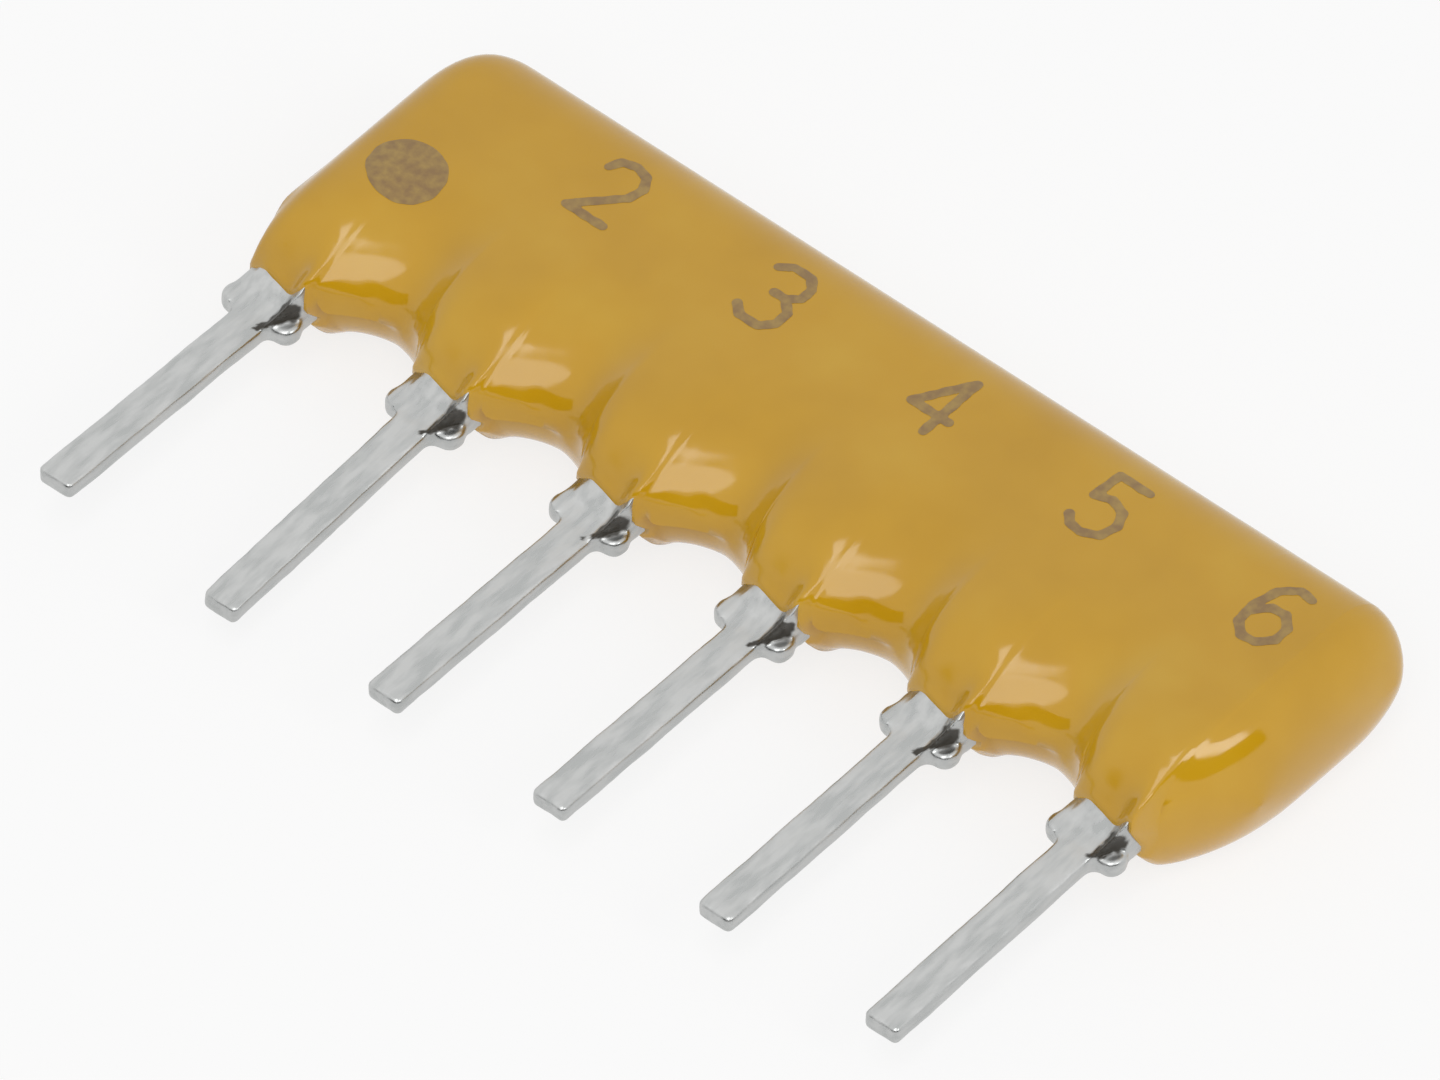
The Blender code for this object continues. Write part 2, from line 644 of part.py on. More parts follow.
def coat_stations():
    """Places along the row: close together in the rounded ends and beside each lead."""
    turns = [1 - math.cos(math.pi / 2 * step / COAT_END_STEPS) for step in range(COAT_END_STEPS)]
    left = [COAT_LEFT + COAT_END_ROUND * turn for turn in turns]
    right = [COAT_RIGHT - COAT_END_ROUND * turn for turn in turns]
    places = [mixed(0.0, DRAPE_HALF, share) for share in COAT_CLIP_SHARES] + [NECK_HALF]
    places += [mixed(DRAPE_HALF, DRAPE_END, share) for share in COAT_FADE_SHARES]
    places += [mixed(DRAPE_END, LEAD_PITCH / 2, share) for share in COAT_ARCH_SHARES]
    middle = {round(lead + side * place, 8) for lead in LEAD_XS for place in places for side in (-1, 1)}
    low, high = left[-1] + EDGE_ROUND, right[-1] - EDGE_ROUND
    near_end = {round(x, 8) for x in left + right}
    return sorted(near_end | {x for x in middle if low < x < high})


def room_mesh(name, x):
    """The room that a lead, its fingers and its solder need in the coat, as sections along Y."""
    back = offset_path(back_path(), -FINGER_HALF_THICKNESS - SOLDER_SKIN - MOUTH_GAP)
    front_end, back_end = SOLDER_TOP + MOUTH_GAP, BACK_FINGER_TIP + MOUTH_GAP
    wide, narrow = SHOULDER_HALF + MOUTH_GAP, CLIP_HALF + MOUTH_GAP
    wide_end = SHOULDER_HEIGHT + CLIP_TAPER
    corners = [y for y, _ in offset_path(front_path(), FINGER_HALF_THICKNESS) + back]
    places = {-COAT_NECK, wide_end, wide_end + MOUTH_GAP, COAT_NECK, SUBSTRATE_BOTTOM}
    places |= {back_end, back_end + MOUTH_GAP, front_end}
    places |= {y for y in corners if -COAT_NECK < y < front_end}
    rings = []
    for y in sorted(places):
        half = mixed(wide, narrow, share_between(y, wide_end, wide_end + MOUTH_GAP))
        low = mixed(height_at(back, y), STRIP_SETBACK, share_between(y, back_end, back_end + MOUTH_GAP))
        across = [-half, *solder_stations(), half]
        top = [(x + place, y, solder_front(place, y) + MOUTH_GAP) for place in reversed(across)]
        rings.append([(x - half, y, low), (x + half, y, low), *top])
    return loft_mesh(name, rings)


def build_coat(parts, cutters, frame, material):
    shell = loft_mesh("coat", [coat_ring(x) for x in coat_stations()], capped=False)
    coat = add_object("coat", shell, parts, frame)
    low = (SUBSTRATE_LEFT - CAVITY_GAP, SUBSTRATE_BOTTOM - CAVITY_GAP, SUBSTRATE_BACK - CAVITY_GAP)
    high = (SUBSTRATE_RIGHT + CAVITY_GAP, SUBSTRATE_TOP + CAVITY_GAP, GLAZE_FRONT + CAVITY_GAP)
    rooms = [box_mesh("room_substrate", low, high)]
    rooms += [room_mesh(f"room_{number}", x) for number, x in enumerate(LEAD_XS, start=1)]
    add_boolean(coat, "DIFFERENCE", rooms, cutters, frame)
    finish(coat, material, 50)


def main():
    clear_scene()
    parts = new_collection("resistor_network", bpy.context.scene.collection)
    cutters = new_collection("cutters", bpy.context.scene.collection, hidden=True)
    frame = bpy.data.objects.new("lead_row_frame", None)
    parts.objects.link(frame)
    frame.location = (-(COAT_LEFT + COAT_RIGHT) / 2, (STEM_LENGTH - COAT_TOP) / 2, STRIP_HEIGHT)

    tinned = new_material("tinned_copper_alloy", (0.62, 0.63, 0.63), 0.25, 1.0)
    solder = new_material("solder", (0.66, 0.66, 0.66), 0.18, 1.0)
    alumina = new_material("alumina", (0.86, 0.85, 0.81), 0.65, 0.0)
    silver_film = new_material("silver_film", (0.60, 0.58, 0.54), 0.45, 1.0)
    resistor_film = new_material("resistor_film", (0.03, 0.03, 0.035), 0.5, 0.0)
    glaze = new_material("green_overglaze", (0.05, 0.16, 0.09), 0.25, 0.0)
    epoxy = new_material("ochre_epoxy_coat", (0.54, 0.31, 0.045), 0.3, 0.0)

    build_substrate(parts, frame, alumina)
    build_conductors(parts, frame, silver_film)
    build_resistors(parts, cutters, frame, resistor_film)
    build_glaze(parts, frame, glaze)
    build_leads(parts, cutters, frame, tinned)
    build_solder(parts, cutters, frame, solder)
    build_coat(parts, cutters, frame, epoxy)


main()
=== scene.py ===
# Six-lead single-in-line resistor network, lying on its back under a soft studio light
import math
from bisect import bisect_right

import bmesh
import bpy
from mathutils import Matrix, Vector, noise


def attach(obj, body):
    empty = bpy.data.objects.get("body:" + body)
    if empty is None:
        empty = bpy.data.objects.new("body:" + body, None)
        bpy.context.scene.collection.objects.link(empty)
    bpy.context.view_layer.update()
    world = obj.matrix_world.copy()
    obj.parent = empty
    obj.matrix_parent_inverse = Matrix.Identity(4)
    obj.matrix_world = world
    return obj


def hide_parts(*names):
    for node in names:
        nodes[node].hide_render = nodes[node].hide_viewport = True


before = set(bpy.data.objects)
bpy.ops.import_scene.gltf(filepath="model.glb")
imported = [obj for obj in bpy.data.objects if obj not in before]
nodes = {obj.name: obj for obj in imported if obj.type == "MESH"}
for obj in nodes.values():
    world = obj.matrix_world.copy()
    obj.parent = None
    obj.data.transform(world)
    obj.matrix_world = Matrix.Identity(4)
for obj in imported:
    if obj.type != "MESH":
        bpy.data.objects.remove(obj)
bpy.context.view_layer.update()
mm = 0.001
print("frame loaded")

# The lead row's own frame in mm: x from the row's middle, y up from the seating line,
# z from the strip's middle
rowShift = Vector((-0.295, -0.675, 0.91))
leadPitch, leadCount = 2.54, 6
leadXs = [leadPitch * (number - (leadCount - 1) / 2) for number in range(leadCount)]
crispDeg = 60  # sharper edges than this stay crisp
noiseSpan = (0.3, 0.7)  # most of a noise texture's values lie in here


def fromRow(x, y, z):  # where a place of the lead row's frame is in the scene
    return (Vector((x, y, z)) + rowShift) * mm


def linear(hexText):  # sRGB hex to linear colour
    parts = [int(hexText[i:i + 2], 16) / 255 for i in (1, 3, 5)]
    return (*[c / 12.92 if c <= 0.04045 else ((c + 0.055) / 1.055) ** 2.4 for c in parts], 1.0)


def mix(low, high, share):
    return low + (high - low) * share


def between(value, low, high):  # 0 at the low end, 1 at the high end, and no further
    return min(max((value - low) / (high - low), 0.0), 1.0)


def eased(share):
    return share * share * (3 - 2 * share)


def roundOver(distance, width, power):  # 0 at an outline, 1 at the width inside it
    share = between(distance, 0.0, width)
    return (1 - (1 - share) ** power) ** (1 / power)


def larger(first, second, blend):  # the larger of two, with the change between them rounded
    near = max(blend - abs(first - second), 0.0)
    return max(first, second) + near * near / (4 * blend)


def newMaterial(name):
    material = bpy.data.materials.new(name)
    material.use_nodes = True
    tree = material.node_tree
    return material, tree, tree.nodes["Principled BSDF"]


def addNode(tree, kind, settings=None, links=None):  # one node with its settings and its links
    node = tree.nodes.new(kind)
    for key, value in (settings or {}).items():
        if key == "stops":  # a ramp's colours and their places
            elements = node.color_ramp.elements
            while len(elements) < len(value):
                elements.new(0.5)
            for element, (position, color) in zip(elements, value):
                element.position = position
                element.color = color
        elif isinstance(key, int) or key in node.inputs:
            node.inputs[key].default_value = value
        else:
            setattr(node, key, value)
    for key, source in (links or {}).items():
        tree.links.new(source, node.inputs[key])
    return node


def shadeSmooth(mesh):
    mesh.shade_smooth()
    mesh.set_sharp_from_angle(angle=math.radians(crispDeg))


def meshObject(name, verts, faces, material):
    mesh = bpy.data.meshes.new(name)
    mesh.from_pydata(verts, [], faces)
    mesh.materials.append(material)
    item = bpy.data.objects.new(name, mesh)
    bpy.context.scene.collection.objects.link(item)
    return item


# Dipped epoxy: ochre and cured glossy. It flowed while wet, so the eye gets a smooth skin with a slow
# waviness, faint clouds of colour where it is thicker or thinner, and a few pits
epoxyLook = {
    "body": "#D19F16",
    "deep": "#CB990F",
    "pale": "#D5A624",
    "places": (0.30, 0.52, 0.75),  # of deep, body and pale on the clouds' noise
    "roughness": 0.11,
    "roughnessSpread": (0.8, 1.3),
    "ior": 1.55,
    "cloudMm": 1.6,
    "waveMm": 0.9,
    "waveDepthMm": 0.012,
    "waveStrength": 0.25,
    "pitMm": 0.16,
    "pitDepthMm": 0.002,
    "pitStrength": 0.10,
}


def dippedEpoxy():
    look = epoxyLook
    material, tree, shader = newMaterial("dippedOchreEpoxy")
    place = addNode(tree, "ShaderNodeTexCoord").outputs["Object"]
    cloud = addNode(tree, "ShaderNodeTexNoise", {"Scale": 1 / (look["cloudMm"] * mm), "Detail": 3.0},
                    {"Vector": place})
    stops = [(at, linear(look[name])) for at, name in zip(look["places"], ("deep", "body", "pale"))]
    color = addNode(tree, "ShaderNodeValToRGB", {"stops": stops}, {"Fac": cloud.outputs["Fac"]})
    tree.links.new(color.outputs["Color"], shader.inputs["Base Color"])
    grain = addNode(tree, "ShaderNodeTexNoise", {"Scale": 1 / (look["pitMm"] * mm), "Detail": 2.0},
                    {"Vector": place})
    smoothest, roughest = (look["roughness"] * share for share in look["roughnessSpread"])
    rough = addNode(tree, "ShaderNodeMapRange",
                    {"From Min": noiseSpan[0], "From Max": noiseSpan[1],
                     "To Min": smoothest, "To Max": roughest},
                    {"Value": grain.outputs["Fac"]})
    tree.links.new(rough.outputs["Result"], shader.inputs["Roughness"])
    wave = addNode(tree, "ShaderNodeTexNoise", {"Scale": 1 / (look["waveMm"] * mm), "Detail": 1.0},
                   {"Vector": place})
    slow = addNode(tree, "ShaderNodeBump",
                   {"Strength": look["waveStrength"], "Distance": look["waveDepthMm"] * mm},
                   {"Height": wave.outputs["Fac"]})
    fine = addNode(tree, "ShaderNodeBump",
                   {"Strength": look["pitStrength"], "Distance": look["pitDepthMm"] * mm},
                   {"Height": grain.outputs["Fac"], "Normal": slow.outputs["Normal"]})
    tree.links.new(fine.outputs["Normal"], shader.inputs["Normal"])
    shader.inputs["IOR"].default_value = look["ior"]
    return material


# Tinned copper alloy: hot-dipped in solder, so the eye gets a bright but uneven metal with streaks along
# the strip, and a painted shade in the pocket under each solder joint, which is dark and not metallic
tinLook = {
    "bright": "#C6C7C6",
    "dull": "#B3B5B4",
    "places": (0.35, 0.62),  # of dull and bright on the streaks' noise
    # dark colour of the painted shade in the pocket under each solder joint
    "residue": "#332F27",
    "roughness": 0.30,
    "roughnessSpread": (0.7, 1.5),
    "streakMm": 0.12,
    "streakAlong": 0.22,  # a streak is 1 / this longer than it is wide
    "streakDepthMm": 0.003,
    "streakStrength": 0.12,
    "lumpMm": 0.30,
    "lumpDepthMm": 0.010,
    "lumpStrength": 0.20,
}


def dippedTin():
    look = tinLook
    material, tree, shader = newMaterial("hotDippedTin")
    place = addNode(tree, "ShaderNodeTexCoord").outputs["Object"]
    along = addNode(tree, "ShaderNodeMapping", {"Scale": (1.0, look["streakAlong"], 1.0)}, {"Vector": place})
    streak = addNode(tree, "ShaderNodeTexNoise", {"Scale": 1 / (look["streakMm"] * mm), "Detail": 3.0},
                     {"Vector": along.outputs["Vector"]})
    stops = [(at, linear(look[name])) for at, name in zip(look["places"], ("dull", "bright"))]
    color = addNode(tree, "ShaderNodeValToRGB", {"stops": stops}, {"Fac": streak.outputs["Fac"]})
    # mask of the painted shade: 1 in the pocket under a solder joint, where the colour turns dark
    residue = addNode(tree, "ShaderNodeAttribute", {"attribute_name": "residue"}).outputs["Fac"]
    shadedTin = addNode(tree, "ShaderNodeMix", {"data_type": "RGBA", 7: linear(look["residue"])},
                      {0: residue, 6: color.outputs["Color"]})  # sockets 6, 7 and 2 are its colours
    tree.links.new(shadedTin.outputs[2], shader.inputs["Base Color"])
    # no metal where the shade is painted
    metalOutsideShade = addNode(tree, "ShaderNodeMapRange", {"To Min": 1.0, "To Max": 0.0}, {"Value": residue})
    tree.links.new(metalOutsideShade.outputs["Result"], shader.inputs["Metallic"])
    lump = addNode(tree, "ShaderNodeTexNoise", {"Scale": 1 / (look["lumpMm"] * mm), "Detail": 2.0},
                   {"Vector": place})
    smoothest, roughest = (look["roughness"] * share for share in look["roughnessSpread"])
    rough = addNode(tree, "ShaderNodeMapRange",
                    {"From Min": noiseSpan[0], "From Max": noiseSpan[1],
                     "To Min": smoothest, "To Max": roughest},
                    {"Value": streak.outputs["Fac"]})
    tree.links.new(rough.outputs["Result"], shader.inputs["Roughness"])
    broad = addNode(tree, "ShaderNodeBump",
                    {"Strength": look["lumpStrength"], "Distance": look["lumpDepthMm"] * mm},
                    {"Height": lump.outputs["Fac"]})
    fine = addNode(tree, "ShaderNodeBump",
                   {"Strength": look["streakStrength"], "Distance": look["streakDepthMm"] * mm},
                   {"Height": streak.outputs["Fac"], "Normal": broad.outputs["Normal"]})
    tree.links.new(fine.outputs["Normal"], shader.inputs["Normal"])
    return material


# Marking ink: brown, printed thin on the cured epoxy, so the eye gets a flat film that is paler in specks
inkLook = {
    "dark": "#94754A",
    "light": "#AD8E50",
    "places": (0.35, 0.70),
    "roughness": 0.30,
    "speckMm": 0.12,
}


def markingInk():
    look = inkLook
    material, tree, shader = newMaterial("brownMarkingInk")
    place = addNode(tree, "ShaderNodeTexCoord").outputs["Object"]
    speck = addNode(tree, "ShaderNodeTexNoise", {"Scale": 1 / (look["speckMm"] * mm), "Detail": 2.0},
                    {"Vector": place})
    stops = [(at, linear(look[name])) for at, name in zip(look["places"], ("dark", "light"))]
    color = addNode(tree, "ShaderNodeValToRGB", {"stops": stops}, {"Fac": speck.outputs["Fac"]})
    tree.links.new(color.outputs["Color"], shader.inputs["Base Color"])
    shader.inputs["Roughness"].default_value = look["roughness"]
    return material


# What the coat hides was screen-printed and fired: chalky alumina, satin silver film, matt resistive
# glass and a smoother green overglaze, each with the fine grain of its powder.
# Light and dark colour, roughness, metallic, grain in mm
firedLooks = {
    "firedAlumina": ("#EFEEE8", "#E2E0D8", 0.65, 0.0, 0.05),
    "firedSilverFilm": ("#CDC9C2", "#B5B1A8", 0.45, 1.0, 0.04),
    "firedResistorFilm": ("#2E2E31", "#232326", 0.50, 0.0, 0.03),
    "firedGreenGlaze": ("#3F6E52", "#335C44", 0.22, 0.0, 0.20),
}
firedGrain = {"places": (0.35, 0.65), "depthMm": 0.003, "strength": 0.3}


def firedLayer(name):
    light, dark, roughness, metallic, grainMm = firedLooks[name]
    material, tree, shader = newMaterial(name)
    place = addNode(tree, "ShaderNodeTexCoord").outputs["Object"]
    grain = addNode(tree, "ShaderNodeTexNoise", {"Scale": 1 / (grainMm * mm), "Detail": 4.0},
                    {"Vector": place})
    stops = [(at, linear(tone)) for at, tone in zip(firedGrain["places"], (dark, light))]
    color = addNode(tree, "ShaderNodeValToRGB", {"stops": stops}, {"Fac": grain.outputs["Fac"]})
    tree.links.new(color.outputs["Color"], shader.inputs["Base Color"])
    bump = addNode(tree, "ShaderNodeBump",
                   {"Strength": firedGrain["strength"], "Distance": firedGrain["depthMm"] * mm},
                   {"Height": grain.outputs["Fac"]})
    tree.links.new(bump.outputs["Normal"], shader.inputs["Normal"])
    shader.inputs["Roughness"].default_value = roughness
    shader.inputs["Metallic"].default_value = metallic
    return material


epoxy, tin, ink = dippedEpoxy(), dippedTin(), markingInk()
alumina, silverFilm = firedLayer("firedAlumina"), firedLayer("firedSilverFilm")
resistorFilm, greenGlaze = firedLayer("firedResistorFilm"), firedLayer("firedGreenGlaze")
hidden = {"substrate": alumina, "common_conductor": silverFilm, "overglaze": greenGlaze}
hidden.update({f"pad_{number}": silverFilm for number in range(2, leadCount + 1)})
hidden.update({f"resistor_{number}": resistorFilm for number in range(2, leadCount + 1)})
for name, material in hidden.items():
    nodes[name].data.materials.clear()
    nodes[name].data.materials.append(material)
print("materials ready")

# Clip lead and solder, in mm: what the coat's skin is draped over
clip = {
    "halfStrip": 0.127,
    "halfFinger": 0.123,
    "bendRadius": 0.25,
    "bendSteps": 12,
    "frontBend": (1.215, 0.6005, 35.0, 2.35),  # end of the bends, rise, degrees, finger's tip
    "backBend": (1.114, -0.3205, 40.0, 2.15),
    "flare": (0.25, 0.05),  # length and lift of the tip
    "solderSkin": 0.03,
    "solderLean": 0.34,
    "solderFrom": 0.204,
    "solderHalf": 0.49,
    "solderFeet": (-0.12, 0.06),
}


def fingerPath(end, rise, bendDeg, tip):  # middle line of a clip finger in y and z
    side, bend, radius = math.copysign(1.0, rise), math.radians(bendDeg), clip["bendRadius"]
    slope = (abs(rise) - 2 * radius * (1 - math.cos(bend))) / math.sin(bend)
    start = end - 2 * radius * math.sin(bend) - slope * math.cos(bend)
    steps = clip["bendSteps"]
    turns = [bend * step / steps for step in range(steps + 1)]
    path = [(start + radius * math.sin(t), side * radius * (1 - math.cos(t))) for t in turns]
    path += [(end - radius * math.sin(t), rise - side * radius * (1 - math.cos(t))) for t in reversed(turns)]
    length, lift = clip["flare"]
    return path + [(tip - length, rise), (tip, rise + side * lift)]


def offsetPath(path, distance):
    moved = []
    for index, (y, z) in enumerate(path):
        before, after = path[max(index - 1, 0)], path[min(index + 1, len(path) - 1)]
        run, rise = after[0] - before[0], after[1] - before[1]
        length = math.hypot(run, rise)
        moved.append((y - distance * rise / length, z + distance * run / length))
    return moved


def heightAt(path, y):
    for (y0, z0), (y1, z1) in zip(path, path[1:]):
        if y <= y1:
            return mix(z0, z1, between(y, y0, y1))
    return path[-1][1]


frontFace = offsetPath(fingerPath(*clip["frontBend"]), clip["halfFinger"])
backFace = offsetPath(fingerPath(*clip["backBend"]), -clip["halfFinger"] - clip["solderSkin"])

# Dipped coat, in mm
coat = {
    "left": -6.97,
    "right": 7.56,
    "top": 4.83,
    "thickness": 2.09,
    "setback": 0.135,  # middle of the coat in front of the strip's middle
    "corners": (0.94, 0.65),  # upper left and upper right
    "neck": 0.56,
    "neckHalf": 0.475,
    "drapeFoot": 0.36,
    "drapeHalf": 0.525,
    "drapeEnd": 0.615,
    "film": 0.06,
    "scallop": 0.97,
    "scallopPower": 1.6,
    "endRise": 1.88,
    "endPower": 1.15,
    "rounds": (0.95, 1.20, 0.67),  # along the top, the foot and the ends
    "powers": (2.2, 2.6, 2.1),  # of the rounds: top and ends, front foot, back foot
    "valley": 0.22,  # how far the front sinks between two leads
    "smooth": (1.2, 2.4),  # where the relief over the leads fades out
    "plateFoot": 1.25,
    # The apron is the wet slope right of each lead: where it starts and how high it is there, and its rise
    "apronFrom": (0.51, 0.41, 0.65),
    "apronSlopes": (-0.354, 0.472),
    "apronTurn": (0.20, 0.424),  # above this rise it is gentler, by this share
    "apronReach": 1.45,
    "apronSides": (0.30, 0.66, 1.40, 2.06),
    "apronWall": 0.08,
    "apronWallPower": 2,
    "apronRound": 0.40,
    "apronFade": (1.5, 2.4),
    # The mesh: rows up each face, closer at both ends, and stations along the body
    "rows": 56,
    "rowPower": 1.7,
    "step": 0.05,
    "endSteps": 16,
    "drapeSteps": 4,
    "leastStep": 0.004,
    "weld": 0.0002,
    # Surface tension: where it begins and ends up the body, its passes and their strength
    "settleFrom": (0.50, 0.90),
    "settleTo": (2.5, 3.1),
    "settlePasses": 30,
    "settleShare": 0.6,
    "evenPasses": 3,
    "evenShare": 0.4,
}


def nearestLead(x):
    return min(leadXs, key=lambda place: abs(x - place))


def insideEnds(x):
    return min(x - coat["left"], coat["right"] - x)


def drapeShare(x, lead):  # 1 over a solder joint, 0 beside it and at the coat's ends
    share = 1 - eased(between(abs(x - lead), coat["drapeHalf"], coat["drapeEnd"]))
    return share * eased(between(insideEnds(x), 0.0, 2 * coat["film"]))


def solderFront(across, y):  # front of the solder over a clip, which leans out to the right
    left = eased(between(-across, clip["solderFrom"], clip["solderHalf"]))
    right = eased(between(across, clip["solderFrom"], clip["solderHalf"]))
    skin = mix(-clip["solderSkin"], clip["solderSkin"], between(y, *clip["solderFeet"]))
    fade = 1 - eased(between(y, coat["neck"], coat["plateFoot"]))
    lobe = mix(heightAt(frontFace, y), clip["halfStrip"], left * fade)
    return lobe + skin + clip["solderLean"] * right * fade


def coatFoot(x):  # scallops from neck to neck, then a rise to each end
    reach = -leadXs[0] + coat["neckHalf"]
    if abs(x) <= reach:
        away = min(abs(x - lead) for lead in leadXs)
        rise = roundOver(away - coat["neckHalf"], leadPitch / 2 - coat["neckHalf"], coat["scallopPower"])
        return mix(coat["neck"], coat["scallop"], rise)
    end = coat["right"] if x > 0 else -coat["left"]
    return mix(coat["neck"], coat["endRise"], ((abs(x) - reach) / (end - reach)) ** coat["endPower"])


def coatHead(x):  # a straight top edge with round corners
    corner = coat["corners"][1 if x > 0 else 0]
    share = 1 - between(insideEnds(x), 0.0, corner)
    return coat["top"] - corner * (1 - math.sqrt(1 - share * share))


def apronSpan(x):  # right of each lead but the last: how much of the apron there is, and the place across
    across = x - max((lead for lead in leadXs if lead <= x), default=leadXs[0])
    left, leftEnd, rightStart, right = coat["apronSides"]
    if x > leadXs[-1]:
        return 0.0, across
    return eased(between(across, left, leftEnd)) * (1 - eased(between(across, rightStart, right))), across


def apronFoot(across):  # a straight edge from the solder's corner that rounds over into the scallop
    fromX, fromY, _ = coat["apronFrom"]
    slopeX, slopeY = coat["apronSlopes"]
    edge = fromY - (across - fromX) * slopeX / slopeY
    return max(-larger(-edge, -coat["scallop"], coat["apronRound"]), coat["drapeFoot"])


def apronDepth(across, y):  # a steep low wall, a slope above it, and a gentler slope above that
    fromX, fromY, height = coat["apronFrom"]
    slopeX, slopeY = coat["apronSlopes"]
    lift, ease = coat["apronTurn"]
    rise = slopeX * (min(across, coat["apronReach"]) - fromX) + slopeY * (y - fromY)
    rise = -larger(-rise, -lift - ease * rise, coat["film"])
    depth = -larger(coat["setback"] - height - rise, -coat["thickness"] / 2, coat["film"])
    return depth * roundOver(y - apronFoot(across), coat["apronWall"], coat["apronWallPower"])


def frontFoot(x):  # the skin runs further down a clip's right side
    lead = nearestLead(x)
    lowest = mix(coat["neck"], coat["drapeFoot"], between(x - lead, -coat["drapeHalf"], coat["drapeHalf"]))
    share, across = apronSpan(x)
    return mix(mix(coatFoot(x), lowest, drapeShare(x, lead)), apronFoot(across), share)


def coatDepth(x, y, front):  # how far the skin lies from the coat's middle plane
    foot, head, lead = coatFoot(x), coatHead(x), nearestLead(x)
    topRound, footRound, endRound = coat["rounds"]
    power = coat["powers"][0]
    footPower = coat["powers"][1 if front else 2]
    depth = coat["thickness"] / 2 * roundOver(y - foot, footRound, footPower)
    depth *= roundOver(head - y, topRound, power) * roundOver(insideEnds(x), endRound, power)
    relief = 1 - eased(between(y, *coat["smooth"]))
    if front:
        arch = eased(between(abs(x - lead), coat["neckHalf"] / 2, leadPitch / 2))
        depth *= 1 - arch * relief * coat["valley"] / (coat["thickness"] / 2)
        cover, low = solderFront(x - lead, y) - coat["setback"], frontFoot(x)
    else:
        cover, low = coat["setback"] - heightAt(backFace, y), foot
    film = cover + coat["film"] * roundOver(y - low, coat["film"], footPower)
    depth += drapeShare(x, lead) * relief * (larger(depth, film, 2 * coat["film"]) - depth)
    if front:
        share, across = apronSpan(x)
        depth = mix(depth, apronDepth(across, y), share * (1 - eased(between(y, *coat["apronFade"]))))
    return depth


def coatStations():  # places along the body, closer where its shape turns
    endRound = coat["rounds"][2]
    endSteps, drapeSteps = coat["endSteps"], coat["drapeSteps"]
    turns = [1 - math.cos(math.pi / 2 * step / endSteps) for step in range(endSteps + 1)]
    xs = [coat["left"] + endRound * turn for turn in turns]
    xs += [coat["right"] - endRound * turn for turn in turns]
    low, high = coat["left"] + endRound, coat["right"] - endRound
    count = round((high - low) / coat["step"])
    xs += [mix(low, high, step / count) for step in range(1, count)]
    for lead in leadXs:
        for side in (-1, 1):
            xs += [lead + side * mix(coat["drapeHalf"], coat["drapeEnd"], step / drapeSteps)
                   for step in range(drapeSteps + 1)]
    kept = [coat["left"]]
    for x in sorted(xs):
        if x - kept[-1] > coat["leastStep"] and coat["right"] - x > coat["leastStep"]:
            kept.append(x)
    return kept + [coat["right"]]


def beside(ys, y):  # where a height falls between a neighbouring station's rows, or nothing beyond its ends
    after = bisect_right(ys, y)
    if after in (0, len(ys)):
        return None
    return after, between(y, ys[after - 1], ys[after])


def settled(stations, fronts):  # the wet coat's surface tension, which rounds every crease above the necks
    heights = [[y for y, _ in front] for front in fronts]
    depths = [[depth for _, depth in front] for front in fronts]
    endRound = coat["rounds"][2]
    plan = []
    for ring in range(1, len(stations) - 1):
        body = coat["settleShare"] * eased(between(insideEnds(stations[ring]), endRound / 2, endRound))
        for row in range(1, len(heights[ring]) - 1):
            y = heights[ring][row]
            share = body * eased(between(y, *coat["settleFrom"])) * (1 - eased(between(y, *coat["settleTo"])))
            sides = beside(heights[ring - 1], y), beside(heights[ring + 1], y)
            if share > 0 and None not in sides:
                acrossShare = between(stations[ring], stations[ring - 1], stations[ring + 1])
                alongShare = between(y, heights[ring][row - 1], heights[ring][row + 1])
                plan.append((ring, row, share, sides, acrossShare, alongShare))
    for _ in range(coat["settlePasses"]):
        after = [list(ring) for ring in depths]
        for ring, row, share, ((left, leftShare), (right, rightShare)), acrossShare, alongShare in plan:
            before, here, beyond = depths[ring - 1], depths[ring], depths[ring + 1]
            across = mix(mix(before[left - 1], before[left], leftShare),
                         mix(beyond[right - 1], beyond[right], rightShare), acrossShare)
            along = mix(here[row - 1], here[row + 1], alongShare)
            after[ring][row] = mix(here[row], (across + along) / 2, share)
        depths = after
    return [list(zip(ys, ring)) for ys, ring in zip(heights, depths)]


def buildCoat():
    verts, faces = [], []
    rows, power = coat["rows"], coat["rowPower"]
    shares = [1 - (1 - (row / (rows - 1)) ** power) ** power for row in range(rows)]
    stations = coatStations()
    fronts = []
    for x in stations:
        low, head = frontFoot(x), coatHead(x)
        ys = [mix(low, head, share) for share in shares]
        fronts.append([(y, coatDepth(x, y, True)) for y in ys])
    fronts = settled(stations, fronts)
    for x, front in zip(stations, fronts):
        foot, head = coatFoot(x), coatHead(x)
        verts += [fromRow(x, y, coat["setback"] + depth) for y, depth in front]
        for share in reversed(shares):
            y = mix(foot, head, share)
            verts.append(fromRow(x, y, coat["setback"] - coatDepth(x, y, False)))
    around = 2 * rows
    for ring in range(len(stations) - 1):
        for index in range(around):
            after = (index + 1) % around
            first, second = ring * around, (ring + 1) * around
            faces.append((first + index, first + after, second + after, second + index))
    item = meshObject("dippedCoat", verts, faces, epoxy)
    shape = bmesh.new()
    shape.from_mesh(item.data)
    bmesh.ops.remove_doubles(shape, verts=shape.verts, dist=coat["weld"] * mm)
    bmesh.ops.dissolve_degenerate(shape, edges=shape.edges, dist=coat["weld"] * mm)
    for _ in range(coat["evenPasses"]):
        bmesh.ops.smooth_vert(shape, verts=shape.verts, factor=coat["evenShare"],
                              use_axis_x=False, use_axis_y=False, use_axis_z=True)
    bmesh.ops.recalc_face_normals(shape, faces=shape.faces)
    shape.to_mesh(item.data)
    shape.free()
    shadeSmooth(item.data)
    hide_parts("coat")
    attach(item, "root")
    return item


